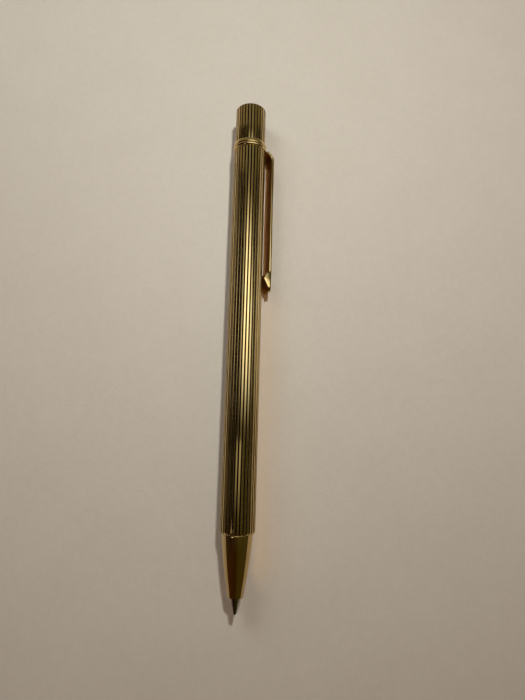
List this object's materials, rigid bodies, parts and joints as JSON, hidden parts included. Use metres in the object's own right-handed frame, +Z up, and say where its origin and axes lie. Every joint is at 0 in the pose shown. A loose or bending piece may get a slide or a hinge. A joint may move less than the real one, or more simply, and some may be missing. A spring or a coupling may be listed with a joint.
{
  "type": "retractable ballpoint pen",
  "caption": "Slim gold-plated ballpoint pen with a fluted barrel, tapered nose cone, sprung flat pocket clip and fluted push button; the point is out.",
  "frame": {"origin": "on the pen's axis, at the centre of the push button's flat end face, with the point out", "axes": "+Y along the pen's axis from the point to the push button, so it is the outward normal of the button's end face; +Z up when the pen lies on a table on its clip ring and the clip's edge; the clip is on the +X side, rolled 24 degrees below level"},
  "size_m": [0.012, 0.1372, 0.0096],
  "materials": {
    "gold_plated_brass": "polished, lightly worn",
    "plain_brass": "turned",
    "seal_rubber": "matte",
    "ivory_plastic": "moulded",
    "grey_plastic": "moulded",
    "dark_plastic": "moulded",
    "refill_steel": "drawn tube",
    "tip_steel": "turned",
    "ball_carbide": "ground",
    "ink_paste": null,
    "follower_grease": null,
    "spring_steel": "drawn wire"
  },
  "bodies": {
    "barrel_unit": {"barrel": "gold_plated_brass", "nose_cone": "gold_plated_brass", "nose_thread_bush": "plain_brass", "nose_o_ring": "seal_rubber", "clip_ring": "gold_plated_brass", "collar": "gold_plated_brass", "guide_sleeve": "grey_plastic", "return_spring": "spring_steel"},
    "clip": {"clip_arm": "gold_plated_brass"},
    "button": {"push_button": "gold_plated_brass", "button_end_disc": "gold_plated_brass", "plunger": "ivory_plastic"},
    "refill": {"refill_tube": "refill_steel", "refill_end_plug": "dark_plastic", "refill_neck": "plain_brass", "refill_tip": "tip_steel", "ink_column": "ink_paste", "grease_plug": "follower_grease"},
    "rotor": {"rotor": "ivory_plastic"},
    "ball": {"writing_ball": "ball_carbide"}
  },
  "joints": [
    {"name": "refill_slide", "type": "slide", "parent": "barrel_unit", "child": "refill", "axis": [0, 1, 0], "range_m": [-0.0009, 0.005], "deforming": ["return_spring"]},
    {"name": "button_slide", "type": "slide", "parent": "barrel_unit", "child": "button", "axis": [0, 1, 0], "range_m": [-0.0009, 0.005]},
    {"name": "rotor_index", "type": "hinge", "parent": "refill", "child": "rotor", "pos_m": [0, -0.0352, 0], "axis": [0, 1, 0], "range_deg": [0, 90]},
    {"name": "ball_roll", "type": "hinge", "parent": "refill", "child": "ball", "pos_m": [0, -0.13685, 0], "axis": [1, 0, 0], "continuous": true},
    {"name": "clip_flex", "type": "hinge", "parent": "barrel_unit", "child": "clip", "pos_m": [0.00437, -0.01265, -0.00194], "axis": [0.4067, 0, 0.9135], "range_deg": [0, 4], "stiffness_Nm_per_rad": 1.4}
  ],
  "couplings": [
    {"joint": "button_slide", "follows": "refill_slide", "ratio": 1}
  ]
}
